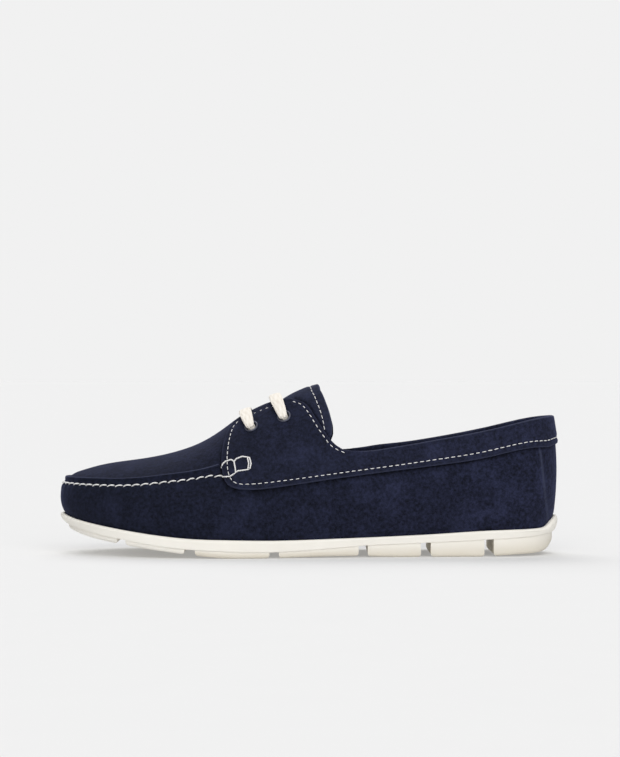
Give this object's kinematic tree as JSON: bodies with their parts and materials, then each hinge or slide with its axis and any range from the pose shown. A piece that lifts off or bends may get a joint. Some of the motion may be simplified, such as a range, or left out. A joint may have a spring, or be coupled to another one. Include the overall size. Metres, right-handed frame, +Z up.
{
  "type": "loafer",
  "caption": "Left driving moccasin in navy suede with a raised hand-sewn apron, a laced saddle and a grooved cream rubber sole.",
  "frame": {"origin": "on the floor, under the middle of the shoe's box", "axes": "+X from the toe to the heel, +Y towards the inner side of the foot, +Z up from the floor"},
  "size_m": [0.2905, 0.1034, 0.0988],
  "materials": {
    "navy_suede": "short suede nap, matt",
    "cream_rubber": "moulded, matt",
    "navy_lining": "smooth, low sheen",
    "cream_cotton": "flat braid",
    "white_thread": "waxed thread",
    "dark_metal": "dark, satin"
  },
  "bodies": {
    "root": {"sole": "cream_rubber", "upper": "navy_suede", "saddle_collar": "navy_suede", "tongue": "navy_suede", "insole": "navy_lining", "lace": "cream_cotton", "eyelet_front_outer": "dark_metal", "eyelet_front_inner": "dark_metal", "eyelet_rear_outer": "dark_metal", "eyelet_rear_inner": "dark_metal"}
  },
  "joints": []
}
